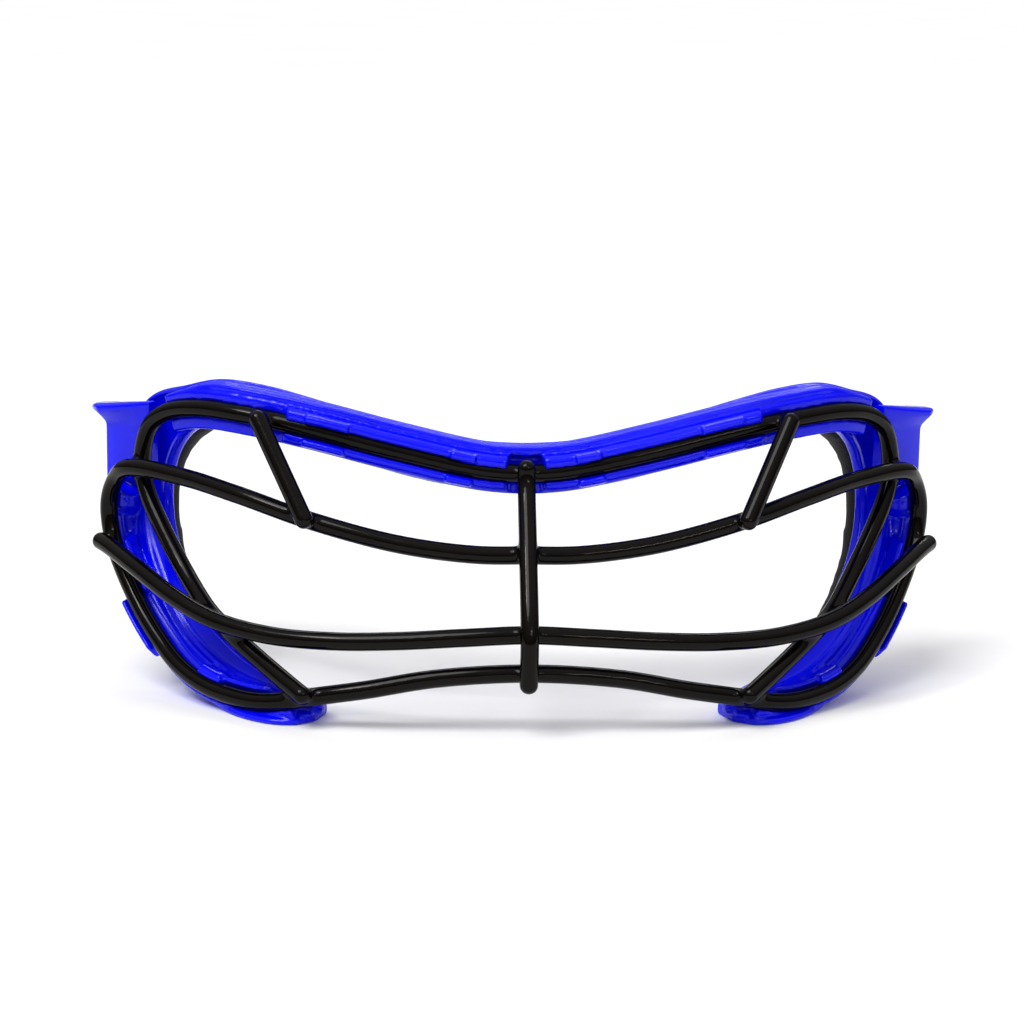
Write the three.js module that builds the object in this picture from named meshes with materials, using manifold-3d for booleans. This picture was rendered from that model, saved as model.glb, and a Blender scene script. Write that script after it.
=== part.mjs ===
// Wire cage sports goggle: a welded steel wire cage snapped into a moulded face frame
// that is lined with soft pads.
// Millimetres, +Z up. The front of the goggle faces -Y, it is symmetric about X = 0,
// and it stands on the undersides of its two cheek feet at Z = 0.
// "left" and "right" are the wearer's, so left is on the +X side.
import * as THREE from "three";
import { mergeVertices } from "three/addons/utils/BufferGeometryUtils.js";
import Module from "manifold-3d";

const wasm = await Module();
wasm.setup();

// ---------------------------------------------------------------- driving dimensions

// Overall sizes. Every guide curve below is drawn for the nominal size and then scaled to these.
const overallWidth = 170; // across the tips of the two strap brackets
const overallDepth = 66; // from the centre bar to the back of the strap brackets
const overallHeight = 61; // from the feet to the top of the brow
const nominalWidth = 170;
const nominalDepth = 66;
const nominalHeight = 61;

// Cage
const wireDiameter = 3.45; // coated steel wire
const weldGap = 0.3; // between two wires that are welded where they cross
const wireSides = 10;
const cutterSides = 8; // of the round cutters that clear a wire
const browSteps = 72; // lengths of each faceted wire
const visorSteps = 96;
const middleSteps = 40;
const centreSteps = 10;
const strutSteps = 1;
const beadRadius = 2.3; // weld fillet at a crossing
const beadSides = 8;
const beadPlace = 0.55; // share of the way from a wire's centre to the centre bar's
const centreBarRise = 3.3; // how far the centre bar's top end passes the brow wire's centre
const centreBarDrop = 2.9; // how far its bottom end passes the lowest bar's centre
const centreBarBow = 0.6; // how far it bows forward just below the brow wire
const strutTopX = 49.2; // where a strut meets the brow wire, at the nominal width
const strutBottomX = 40.2; // where it meets the upper visor bar, at the nominal width
const strutOverhang = 1.5; // how far its ends pass the wires that they are welded to

// Moulded frame
const wireClearance = 0.35; // between a wire and the groove that holds it
const shellThickness = 2.4; // back plate of the frame
const shellCrown = 0.4; // how far the plate swells between its edges
const shellBevel = 0.5;
const shellSteps = 60;
const lipWall = 1.9; // wall above and below the wire in its groove
const lipReach = 0.9; // how far the lips come forward of the wire's centre
const browRailBack = 7; // how far the brow rail reaches behind the wire's centre
const browRailEndX = 67; // where the brow rail ends, at the nominal width
const browRailSteps = 32;
const cheekRailBack = 5.4; // how far the cheek rails reach behind the wire's centre
const cheekLipWall = 1.1; // wall outside the wire on the cheek
const cheekBaseFront = 0.9; // how far behind the wire's centre the cheek rail's front lies
// Each stretch of a cheek moulding is given as shares of the way from the temple to the corner.
const cheekBaseRun = [0.06, 0.94];
const outerLipRun = [0.3, 0.46];
const upperInnerLipRun = [0.16, 0.36];
const lowerInnerLipRun = [0.62, 0.9];
const cheekOnShell = [0.77, 0.97]; // shares along the shell that the same stretch lies beside
const footLip = 2.2; // how far the foot's lip comes forward of the wire's centre
const footLipHeight = 1.3; // height of that lip above the ground
const footDepth = 10; // from the wire's centre to the back of the foot
const footHeight = 4.6;
const footPeak = 0.65; // share of its length, from the cheek, where the lip reaches furthest
const footCheekBend = 11; // how fast its lip runs back from there towards the cheek
const footNoseBend = 30; // and towards the nose
const footStartX = 61; // its ends, at the nominal width
const footEndX = 40.2;
const footSteps = 12;
const notchClearance = 0.6; // around the centre bar and the struts, where they enter the frame

// Strap brackets
const bracketWall = 2.6;
const bracketHeight = 15.5;
const slotHeight = 9;
const slotLength = 5.6;
const slotBridge = 2.4; // material behind the slot, which the strap goes round
const tabLength = 8.4; // straight tab that holds the slot
const flangeReach = 3; // outward flare of the bracket's top flange
const flangeRun = 1.4; // the flange is at its full reach after 1 / this share of the bracket
const bracketTopZ = 54.6; // its top edge at the front, at the nominal height
const bracketFall = 2.8; // drop of its top edge from front to back
const slotDrop = 3.8; // from the bracket's top edge to the slot
const flareSteps = 5;

// Pads
const padGap = 0.35; // between the frame and the pads
const padThickness = 6;
// Along the frame, pads are placed by stations: the numbers of the shell's guide points from
// the middle of the brow, 0. Across the frame they are placed by shares from its outer edge.
const sidePadStart = 4.9;
const sidePadEnd = 15;
const browPadEnd = 4.68;
const sidePadOuter = 0.14;
const sidePadInner = 0.76;
const padBulge = 0.26; // how much further inward the side pad swells under the end of the brow
const padBulgeStation = 6.5;
const padBulgeHalfLength = 2.3;
const padFootInset = 0.36; // how far its outer edge draws in above the foot
const padFootStations = [10.5, 13]; // between which it draws in
const browPadOuter = 0.1;
const browPadInner = 0.7;
const padEndStretch = 0.08; // stations that a pad's pocket is longer at each end
const sidePadSteps = 24;
const browPadSteps = 28;

const groundDepth = 20; // of the block that is cut away below the feet

// ---------------------------------------------------------------- worked-out values

const wireRadius = wireDiameter / 2;
const pitch = wireDiameter + weldGap; // distance between the centrelines of crossing wires
const grooveRadius = wireRadius + wireClearance;

// ---------------------------------------------------------------- helpers

// A point of a guide curve, scaled from the nominal size to the overall size.
function at(x, y, z) {
  return new THREE.Vector3(
    (x * overallWidth) / nominalWidth,
    (y * overallDepth) / nominalDepth,
    (z * overallHeight) / nominalHeight,
  );
}

function mirrored(point) {
  return new THREE.Vector3(-point.x, point.y, point.z);
}

// The same half outline on both sides: from -X through the centre to +X.
function bothSides(half) {
  const left = half.filter((p) => p.x > 0.01);
  return [...left.map(mirrored).reverse(), ...half];
}

function spline(points, closed = false) {
  return new THREE.CatmullRomCurve3(points, closed, "centripetal");
}

// An X of the nominal size, scaled to the overall width.
function wide(x) {
  return (x * overallWidth) / nominalWidth;
}

function lerp(a, b, t) {
  return a + (b - a) * t;
}

function solidOf(geometry) {
  const bare = geometry.clone();
  bare.deleteAttribute("normal");
  bare.deleteAttribute("uv");
  const merged = mergeVertices(bare, 1e-4);
  return new wasm.Manifold(
    new wasm.Mesh({
      numProp: 3,
      vertProperties: new Float32Array(merged.attributes.position.array),
      triVerts: new Uint32Array(merged.index.array),
    }),
  );
}

function geometryOf(solid) {
  const mesh = solid.getMesh();
  const positions = new Float32Array(mesh.numVert * 3);
  for (let i = 0; i < mesh.numVert; i++) {
    for (let k = 0; k < 3; k++) {
      positions[3 * i + k] = mesh.vertProperties[mesh.numProp * i + k];
    }
  }
  const geometry = new THREE.BufferGeometry();
  geometry.setAttribute("position", new THREE.BufferAttribute(positions, 3));
  geometry.setIndex(new THREE.BufferAttribute(new Uint32Array(mesh.triVerts), 1));
  const flat = geometry.toNonIndexed();
  flat.computeVertexNormals();
  return flat;
}

// A round bar along a curve.
function tube(curve, radius, steps, sides = wireSides) {
  const section = new THREE.Shape();
  for (let i = 0; i < sides; i++) {
    const a = (2 * Math.PI * i) / sides;
    const x = radius * Math.cos(a);
    const y = radius * Math.sin(a);
    if (i === 0) {
      section.moveTo(x, y);
    } else {
      section.lineTo(x, y);
    }
  }
  section.closePath();
  return solidOf(
    new THREE.ExtrudeGeometry(section, { steps, extrudePath: curve, bevelEnabled: false }),
  );
}

// A round bar along a closed curve, joined end to end.
function ringTube(curve, radius, steps, sides = wireSides) {
  const frames = curve.computeFrenetFrames(steps, true);
  const rings = [];
  for (let s = 0; s < steps; s++) {
    const centre = curve.getPointAt(s / steps);
    const ring = [];
    for (let i = 0; i < sides; i++) {
      const a = (2 * Math.PI * i) / sides;
      ring.push(
        centre
          .clone()
          .addScaledVector(frames.normals[s], radius * Math.cos(a))
          .addScaledVector(frames.binormals[s], radius * Math.sin(a)),
      );
    }
    rings.push(ring);
  }
  return loft(rings, true);
}

// A closed body through a row of outlines that all have the same number of points. A
// looped row joins its last outline to its first, and any other row gets two end caps.
function loft(rings, looped = false) {
  const count = rings[0].length;
  const positions = [];
  const index = [];
  for (const ring of rings) {
    for (const p of ring) {
      positions.push(p.x, p.y, p.z);
    }
  }
  for (let r = 0; r < rings.length - (looped ? 0 : 1); r++) {
    const near = r * count;
    const far = ((r + 1) % rings.length) * count;
    for (let i = 0; i < count; i++) {
      const j = (i + 1) % count;
      index.push(near + i, near + j, far + j, near + i, far + j, far + i);
    }
  }
  if (!looped) {
    const last = (rings.length - 1) * count;
    for (const [a, b, c] of capOf(rings[0])) {
      index.push(a, c, b);
    }
    for (const [a, b, c] of capOf(rings[rings.length - 1])) {
      index.push(last + a, last + b, last + c);
    }
  }
  const geometry = new THREE.BufferGeometry();
  geometry.setAttribute("position", new THREE.Float32BufferAttribute(positions, 3));
  geometry.setIndex(facesOutward(positions, index) ? index : index.reverse());
  return solidOf(geometry);
}

// The triangles that fill an outline, which may be concave, turned the same way as it.
function capOf(ring) {
  const normal = new THREE.Vector3();
  ring.forEach((p, i) => normal.add(p.clone().cross(ring[(i + 1) % ring.length])));
  normal.normalize();
  const across = ring[1].clone().sub(ring[0]).normalize();
  const up = new THREE.Vector3().crossVectors(normal, across);
  const flat = ring.map((p) => new THREE.Vector2(p.dot(across), p.dot(up)));
  return THREE.ShapeUtils.triangulateShape(flat, []);
}

// Whether a closed mesh's triangles turn outward: its signed volume is positive.
function facesOutward(positions, index) {
  const corner = (i) => new THREE.Vector3().fromArray(positions, 3 * index[i]);
  let volume = 0;
  for (let i = 0; i < index.length; i += 3) {
    volume += corner(i).dot(corner(i + 1).cross(corner(i + 2)));
  }
  return volume > 0;
}

// Forward and up at a place on a curve that runs from -X to +X.
function frameAt(curve, t) {
  const origin = curve.getPointAt(t);
  const tangent = curve.getTangentAt(t);
  const up = new THREE.Vector3(0, 0, 1).addScaledVector(tangent, -tangent.z).normalize();
  const forward = new THREE.Vector3().crossVectors(tangent, up);
  return { origin, up, forward };
}

// A moulding of a constant outline, given as [forward, up] pairs about the curve.
function moulding(curve, outline, from, to, steps) {
  const rings = [];
  for (let s = 0; s <= steps; s++) {
    const { origin, up, forward } = frameAt(curve, lerp(from, to, s / steps));
    rings.push(
      outline.map(([f, u]) =>
        origin.clone().addScaledVector(forward, f).addScaledVector(up, u),
      ),
    );
  }
  return loft(rings);
}

// Where along a curve that runs from -X to +X a given X is reached.
function parameterAtX(curve, x) {
  let low = 0;
  let high = 1;
  for (let i = 0; i < 40; i++) {
    const middle = (low + high) / 2;
    if (curve.getPointAt(middle).x < x) {
      low = middle;
    } else {
      high = middle;
    }
  }
  return (low + high) / 2;
}

// ---------------------------------------------------------------- cage guide curves

// The brow wire's corner, where it turns down behind the visor loop, and the outward
// direction there, along which the crossing wires are stacked.
const templeCrossing = at(73.4, 47.6, 42.5);
const templeOutward = new THREE.Vector3(0.62, -0.78, 0);

// The brow wire runs along the brow, turns down at the temples and comes forward under
// the eyes to the bottom corners, in front of the visor loop.
const cornerCrossing = at(39.5, 11, 5.9);
const cornerOutward = new THREE.Vector3(0.3, -0.95, 0.1);

// Where the middle crossbar passes in front of the brow wire below the eye.
const cheekCrossing = at(56.85, 24.15, 16.2);
const cheekOutward = new THREE.Vector3(0.42, -0.77, 0.48);
const browHalf = [
  at(0, 24, 45.8),
  at(8, 24.1, 46.3),
  at(24, 25.2, 49.6),
  at(40, 27.8, 53.2),
  at(52, 31.4, 55.2),
  at(62, 37, 55.6),
  at(68.5, 42.8, 53.6),
  at(72, 46.4, 49.8),
  templeCrossing,
  at(72.2, 45, 37.5),
  at(69.4, 41, 32),
  at(64.8, 35.2, 24.6),
  at(59.8, 27.4, 18.6),
  cheekCrossing,
  at(50, 17.4, 11.6),
  cornerCrossing.clone().addScaledVector(cornerOutward, pitch),
];
const browCurve = spline(bothSides(browHalf));

// The visor loop is one closed wire: the upper visor bar, an arch at each temple, the
// run round the outside of each cheek and the lowest bar.
const visorCentre = at(0, 14.2, 32.2);
const lowerCentre = at(0, 6.4, 11.6);
const visorArch = templeCrossing.clone().addScaledVector(templeOutward, pitch);

// Where the end of the middle crossbar is welded to the outside of the loop.
const tipCrossing = at(79.55, 50.95, 27.4);
const tipOutward = new THREE.Vector3(0.75, -0.66, 0.04);
const visorHalf = [
  visorCentre,
  at(10, 14.3, 32.3),
  at(24, 15.8, 33.9),
  at(40, 19.6, 37.4),
  at(54, 26.7, 40.9),
  at(65, 35.8, 42.5),
  visorArch,
  at(78.6, 49.6, 39.4),
  at(80.2, 52, 34.4),
  tipCrossing,
  at(74.8, 43.8, 17.2),
  at(69.6, 36.6, 10.2),
  at(65, 30.6, 6.2),
  at(59.4, 24.4, 4),
  at(51, 17.2, 3.4),
  at(45, 13.4, 4.4),
  cornerCrossing,
  at(30, 8.4, 7.9),
  at(17, 6.8, 10.5),
];
const visorCurve = spline(
  [...visorHalf, lowerCentre, ...visorHalf.slice(1).map(mirrored).reverse()],
  true,
);

// The middle crossbar stands furthest forward, and its ends are welded to the outside of
// the visor loop at the temples.
const middleCentre = at(0, 5.6, 19.1);
const middleHalf = [
  middleCentre,
  at(12, 5.9, 18.5),
  at(24, 7.4, 17.5),
  at(36, 10.3, 16.7),
  at(48, 15.2, 16.6),
  cheekCrossing.clone().addScaledVector(cheekOutward, pitch),
  at(66, 27.6, 20.7),
  at(74, 36.6, 24.6),
  at(79.8, 44.6, 27),
  tipCrossing.clone().addScaledVector(tipOutward, pitch),
];
const middleCurve = spline(bothSides(middleHalf));

// The centre bar runs down in front of the brow wire and of the three crossbars.
const forward = new THREE.Vector3(0, -1, 0);
const inFront = (p) => p.clone().addScaledVector(forward, pitch);
const centreBarTop = inFront(browHalf[0]).add(new THREE.Vector3(0, 0, centreBarRise));
const centreBarBottom = inFront(lowerCentre).add(new THREE.Vector3(0, 0, -centreBarDrop));
const centreCurve = spline([
  centreBarTop,
  inFront(browHalf[0]).add(new THREE.Vector3(0, -centreBarBow, -2 * centreBarBow)),
  inFront(visorCentre),
  inFront(middleCentre),
  inFront(lowerCentre),
  centreBarBottom,
]);

// Each strut leans from the brow wire down and inward to the upper visor bar.
const strutTop = browCurve.getPointAt(parameterAtX(browCurve, wide(strutTopX)));
const visorUpper = spline(bothSides(visorHalf.slice(0, 7)));
const strutBottom = visorUpper.getPointAt(parameterAtX(visorUpper, wide(strutBottomX)));
const strutOutward = new THREE.Vector3(0.3, -0.93, 0.2).normalize();

function strutCurve(side) {
  const lean = strutTop.clone().sub(strutBottom).normalize();
  const ends = [strutBottom, strutTop].map((p, i) =>
    p
      .clone()
      .addScaledVector(strutOutward, pitch)
      .addScaledVector(lean, i ? strutOverhang : -strutOverhang),
  );
  return new THREE.LineCurve3(...(side > 0 ? ends : ends.map(mirrored)));
}

// ---------------------------------------------------------------- cage pieces

// A weld fillet is a bead on the front wire, coped to the wire behind it.
function bead(place) {
  const ball = new THREE.SphereGeometry(beadRadius, beadSides, beadSides / 2 + 1);
  ball.rotateX(Math.PI / 2);
  ball.translate(place.x, place.y, place.z);
  return solidOf(ball);
}

const browWire = tube(browCurve, wireRadius, browSteps);
const visorWire = ringTube(visorCurve, wireRadius, visorSteps);
const middleBar = tube(middleCurve, wireRadius, middleSteps);
const centreBar = tube(centreCurve, wireRadius, centreSteps);

// Round cutters, whose flats stand the whole gap away from the wire.
const cutterRadius = (gap) => (wireRadius + gap) / Math.cos(Math.PI / cutterSides);
const browCutter = (gap) => tube(browCurve, cutterRadius(gap), browSteps, cutterSides);
const visorCutter = (gap) => ringTube(visorCurve, cutterRadius(gap), visorSteps, cutterSides);
const middleCutter = (gap) => tube(middleCurve, cutterRadius(gap), middleSteps, cutterSides);
const browClear = browCutter(weldGap);
const visorClear = visorCutter(weldGap);
const middleClear = middleCutter(weldGap);

const beadAt = (p) => bead(p.clone().addScaledVector(forward, pitch * beadPlace));
const pieces = {};
pieces.visor_loop_wire = visorWire.subtract(browClear);
pieces.brow_wire = browWire.subtract(visorClear);
pieces.middle_crossbar = middleBar.subtract(visorClear).subtract(browClear);
pieces.centre_bar = centreBar
  .add(beadAt(browHalf[0]))
  .add(beadAt(visorCentre))
  .add(beadAt(middleCentre))
  .add(beadAt(lowerCentre))
  .subtract(browClear)
  .subtract(visorClear)
  .subtract(middleClear);

for (const [name, side] of [["left", 1], ["right", -1]]) {
  const strut = tube(strutCurve(side), wireRadius, strutSteps);
  pieces["strut_" + name] = strut.subtract(browClear).subtract(visorClear);
}

// ---------------------------------------------------------------- frame

// The shell is one C shaped band round each eye, open between the cheeks. Its outer and
// inner edges run from the middle of the brow to the tip of the cheek foot.
const shellOuterHalf = [
  at(0, 31, 50.6),
  at(13, 31.2, 51.6),
  at(26, 32, 54.4),
  at(38, 33.6, 57.8),
  at(49, 36.6, 60.2),
  at(58, 41, 60.6),
  at(66, 47.5, 58),
  at(73, 55, 54.4),
  at(77.5, 59, 47),
  at(79, 59, 38),
  at(78.8, 55.5, 28),
  at(75.6, 48.8, 18),
  at(71.6, 41.8, 9.8),
  at(66, 34.6, 5.4),
  at(60, 28, 3),
  at(52, 21, 2.4),
  at(44, 15.6, 2.2),
  at(38.4, 13.4, 2),
];
const shellInnerHalf = [
  at(0, 27.4, 41.8),
  at(12.6, 27.6, 42.8),
  at(25, 28.4, 45.4),
  at(36.5, 30.4, 48.8),
  at(46.5, 33.4, 51.2),
  at(54, 37, 52.2),
  at(60.5, 42.5, 51.2),
  at(65.4, 48.5, 47.4),
  at(68, 52, 41.6),
  at(68.6, 51.6, 35),
  at(67.4, 48, 28),
  at(64.4, 42.4, 21.4),
  at(60, 35.6, 16),
  at(55.4, 29.4, 12.2),
  at(50.6, 23.8, 9.6),
  at(46, 19.4, 7.8),
  at(41.8, 16.4, 6.4),
  at(37.8, 14.6, 5.2),
];
const shellOuter = spline(bothSides(shellOuterHalf));
const shellInner = spline(bothSides(shellInnerHalf));

// A station of the shell: its edges, and the direction towards the face.
function stationAt(t) {
  const outer = shellOuter.getPoint(t);
  const inner = shellInner.getPoint(t);
  const across = inner.clone().sub(outer);
  const along = shellOuter.getTangent(t).add(shellInner.getTangent(t));
  const back = along.cross(across).normalize();
  return { outer, inner, back };
}

// A point of a station, a share of the way across it and a depth behind its front face.
function stationPoint(station, share, depth) {
  return station.outer
    .clone()
    .lerp(station.inner, share)
    .addScaledVector(station.back, depth);
}

// A band that follows the shell, with an outline of [share across, depth] pairs that may
// change along it.
function band(outlineAt, from, to, steps) {
  const rings = [];
  for (let s = 0; s <= steps; s++) {
    const t = lerp(from, to, s / steps);
    const station = stationAt(t);
    rings.push(outlineAt(t).map(([share, depth]) => stationPoint(station, share, depth)));
  }
  return loft(rings);
}

const shellOutline = () => [
  [0, shellBevel],
  [0.1, 0],
  [0.5, shellCrown],
  [0.9, 0],
  [1, shellBevel],
  [1, shellThickness],
  [0.5, shellThickness + shellCrown],
  [0, shellThickness],
];

// The rail round the brow wire: a block behind it with a lip above and a lip below.
const lipEdge = grooveRadius + lipWall;
const browOutline = [
  [lipReach, -grooveRadius - 0.9],
  [lipReach, grooveRadius + 0.7],
  [-0.6, lipEdge],
  [-4, lipEdge + 1],
  [-browRailBack, lipEdge + 1.2],
  [-browRailBack + 2, -lipEdge + 0.4],
  [-2.5, -lipEdge - 0.1],
  [0, -lipEdge + 0.1],
];
const browRail = moulding(
  browCurve,
  browOutline,
  parameterAtX(browCurve, -wide(browRailEndX)),
  parameterAtX(browCurve, wide(browRailEndX)),
  browRailSteps,
);

// The lower stretch of the visor loop on the left side, from the temple to the corner.
const cheekCurve = spline(visorHalf.slice(7, 17));

function mirrorIf(side, points) {
  return side > 0 ? points : points.map(mirrored);
}

// Directions about the cheek wire: across towards the eye, and back towards the face.
function cheekRings(outline, [from, to], steps, side) {
  const rings = [];
  for (let s = 0; s <= steps; s++) {
    const t = lerp(from, to, s / steps);
    const origin = cheekCurve.getPointAt(t);
    const tangent = cheekCurve.getTangentAt(t);
    const eyeward = shellInner.getPoint(lerp(...cheekOnShell, t)).sub(origin);
    const across = eyeward.addScaledVector(tangent, -eyeward.dot(tangent)).normalize();
    const back = new THREE.Vector3().crossVectors(tangent, across);
    const ring = outline.map(([a, b]) =>
      origin.clone().addScaledVector(across, a).addScaledVector(back, b),
    );
    rings.push(mirrorIf(side, ring));
  }
  return loft(rings);
}

const cheekBase = [
  [-grooveRadius - 0.2, cheekBaseFront],
  [grooveRadius + 1.4, cheekBaseFront],
  [grooveRadius + 3.4, 3.2],
  [grooveRadius + 2, cheekRailBack],
  [-grooveRadius + 0.2, cheekRailBack],
];
const outerLip = [
  [-grooveRadius - cheekLipWall, -0.2],
  [-0.5, -0.2],
  [-0.5, 3],
  [-grooveRadius - cheekLipWall, 3],
];
const innerLip = [
  [0.5, -lipReach],
  [grooveRadius + 1, -lipReach],
  [grooveRadius + 2.4, 2.5],
  [0.5, 3],
];

// The foot: a slab under the visor loop whose underside is flat on the ground. Its lip
// stands in front of the wire near the nose and runs back behind it towards the cheek.
const visorLowerReverse = spline(visorHalf.slice(9, 18).reverse());

function foot(side) {
  const rings = [];
  for (let s = 0; s <= footSteps; s++) {
    const share = s / footSteps;
    const x = wide(lerp(footStartX, footEndX, share));
    const t = parameterAtX(visorLowerReverse, x);
    const origin = visorLowerReverse.getPointAt(t);
    const tangent = visorLowerReverse.getTangentAt(t);
    const out = new THREE.Vector3(tangent.y, -tangent.x, 0).normalize();
    const bend = share < footPeak ? footCheekBend : footNoseBend;
    const lip = footLip - bend * (share - footPeak) ** 2;
    const ring = [
      [lip, 0],
      [lip, footLipHeight * 0.6],
      [lip - 0.8, footLipHeight],
      [-2, footLipHeight + 1.6],
      [-footDepth + 3, footHeight],
      [-footDepth, 0],
    ].map(([f, z]) => new THREE.Vector3(origin.x + f * out.x, origin.y + f * out.y, z));
    rings.push(mirrorIf(side, ring));
  }
  return loft(rings);
}

// The strap bracket flares outward behind the brow wire's corner and ends in a straight,
// flat tab with the strap slot.
const bracketTop = (bracketTopZ * overallHeight) / nominalHeight;
const bracketEnd = at(81, 66, 0);
const tabStart = new THREE.Vector3(bracketEnd.x, bracketEnd.y - tabLength, 0);
const flareCurve = spline([
  at(72, 49.5, 0),
  at(75.6, 52.6, 0),
  at(79.2, 55.8, 0),
  tabStart,
]);

function bracket(side) {
  const rings = [];
  for (let s = 0; s <= flareSteps + 1; s++) {
    const onTab = s >= flareSteps;
    const along = Math.min(1, s / flareSteps);
    const place = s > flareSteps ? bracketEnd : flareCurve.getPointAt(along);
    const run = flareCurve.getTangentAt(along);
    const out = onTab ? new THREE.Vector3(1, 0, 0) : new THREE.Vector3(run.y, -run.x, 0);
    const share = s / (flareSteps + 1);
    const top = bracketTop - bracketFall * share;
    const flare = flangeReach * Math.min(1, flangeRun * share);
    const ring = [
      [0, top - bracketHeight],
      [0, top - flangeReach - 0.4],
      [flare, top - 1.4],
      [flare, top - 0.3],
      [0, top],
      [-bracketWall, top],
      [-bracketWall, top - bracketHeight],
    ].map(([f, z]) => new THREE.Vector3(place.x + f * out.x, place.y + f * out.y, z));
    rings.push(mirrorIf(side, ring));
  }
  return loft(rings);
}

// The strap slot goes through the tab and through the edge of the shell beside it.
function strapSlot(side) {
  const slot = new THREE.BoxGeometry(4 * bracketWall, slotLength, slotHeight);
  const slotTop = bracketTop - bracketFall - slotDrop;
  slot.translate(
    side * bracketEnd.x,
    bracketEnd.y - slotBridge - slotLength / 2,
    slotTop - slotHeight / 2,
  );
  return solidOf(slot);
}

let frame = band(shellOutline, 0, 1, shellSteps).add(browRail);
for (const side of [1, -1]) {
  frame = frame
    .add(cheekRings(cheekBase, cheekBaseRun, 17, side))
    .add(cheekRings(outerLip, outerLipRun, 4, side))
    .add(cheekRings(innerLip, upperInnerLipRun, 5, side))
    .add(cheekRings(innerLip, lowerInnerLipRun, 5, side))
    .add(foot(side))
    .add(bracket(side));
}
frame = frame
  .subtract(browCutter(wireClearance))
  .subtract(visorCutter(wireClearance))
  .subtract(middleCutter(wireClearance));

// Notches let the centre bar and the struts reach the brow wire.
function notch(place, width) {
  const box = new THREE.BoxGeometry(width, 2 * pitch, 4 * pitch);
  box.translate(place.x, place.y - pitch, place.z);
  return solidOf(box);
}

const centreNotch = wireDiameter + 2 * notchClearance;
const strutNotch = wireDiameter + 4 * notchClearance;
frame = frame.subtract(notch(browHalf[0], centreNotch));
for (const side of [1, -1]) {
  const place = strutTop.clone();
  place.x *= side;
  frame = frame.subtract(notch(place, strutNotch));
}

// Everything below the ground is cut away, which leaves the undersides of the feet flat.
const groundBox = new THREE.BoxGeometry(2 * overallWidth, 2 * overallDepth, groundDepth);
groundBox.translate(0, overallDepth / 2, -groundDepth / 2);
const ground = solidOf(groundBox);

// ---------------------------------------------------------------- pads

// Pads lie behind the shell. Stations are counted from the middle of the brow, 0, to the
// tip of the foot, lastStation.
const lastStation = shellOuterHalf.length - 1;
const stationShare = (station) => 0.5 + station / (2 * lastStation);
const padFront = shellThickness + shellCrown + padGap;

// The side pad's outer and inner edge. Its inner edge swells under the end of the brow.
function sidePadEdges(t) {
  const station = (t - 0.5) * 2 * lastStation;
  const near = 1 - Math.abs(station - padBulgeStation) / padBulgeHalfLength;
  return [
    sidePadOuter + padFootInset * THREE.MathUtils.smoothstep(station, ...padFootStations),
    sidePadInner + padBulge * THREE.MathUtils.smoothstep(near, 0, 1),
  ];
}

const browPadEdges = () => [browPadOuter, browPadInner];

// A pad between two edges, given as shares of the way across the shell, grown by a gap.
function pad(edgesAt, from, to, steps, side, gap) {
  const rings = [];
  const stretch = gap > 0 ? padEndStretch : 0;
  for (let s = 0; s <= steps; s++) {
    const t = stationShare(lerp(from - stretch, to + stretch, s / steps));
    const station = stationAt(t);
    const spare = gap / station.outer.distanceTo(station.inner);
    const [outer, inner] = edgesAt(t);
    const middle = padFront + padThickness / 2;
    const ring = [
      [outer - spare, padFront - gap],
      [inner + spare, padFront - gap],
      [inner + spare + 0.06, middle],
      [inner + spare, padFront + padThickness + gap],
      [outer - spare + 0.04, padFront + padThickness + gap],
      [outer - spare - 0.05, middle],
    ].map(([share, depth]) => stationPoint(station, share, depth));
    rings.push(mirrorIf(side, ring));
  }
  return loft(rings);
}

const sidePad = (side, gap) => pad(sidePadEdges, sidePadStart, sidePadEnd, sidePadSteps, side, gap);
const browPad = (gap) => pad(browPadEdges, -browPadEnd, browPadEnd, browPadSteps, 1, gap);

pieces.face_frame = frame
  .subtract(browPad(padGap))
  .subtract(sidePad(1, padGap))
  .subtract(sidePad(-1, padGap))
  .subtract(strapSlot(1))
  .subtract(strapSlot(-1))
  .subtract(ground);
pieces.brow_pad = browPad(0);
pieces.side_pad_left = sidePad(1, 0).subtract(ground);
pieces.side_pad_right = sidePad(-1, 0).subtract(ground);

// ---------------------------------------------------------------- assembly

const colours = {
  wire: new THREE.MeshStandardMaterial({ color: 0x14120f, roughness: 0.25, metalness: 0.3 }),
  frame: new THREE.MeshStandardMaterial({ color: 0x0b14f0, roughness: 0.3, metalness: 0 }),
  pad: new THREE.MeshStandardMaterial({ color: 0x17140f, roughness: 0.9, metalness: 0 }),
};
const materialOf = (name) =>
  name.includes("pad") ? colours.pad : name === "face_frame" ? colours.frame : colours.wire;

// The origin is on the ground, midway between the front and the back.
const goggle = new THREE.Group();
goggle.position.y = -overallDepth / 2;
for (const [name, solid] of Object.entries(pieces)) {
  const mesh = new THREE.Mesh(geometryOf(solid), materialOf(name));
  mesh.name = name;
  goggle.add(mesh);
}

export default goggle;
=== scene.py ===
import math

import bmesh
import bpy
import numpy as np
from mathutils import Matrix, Vector


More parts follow.
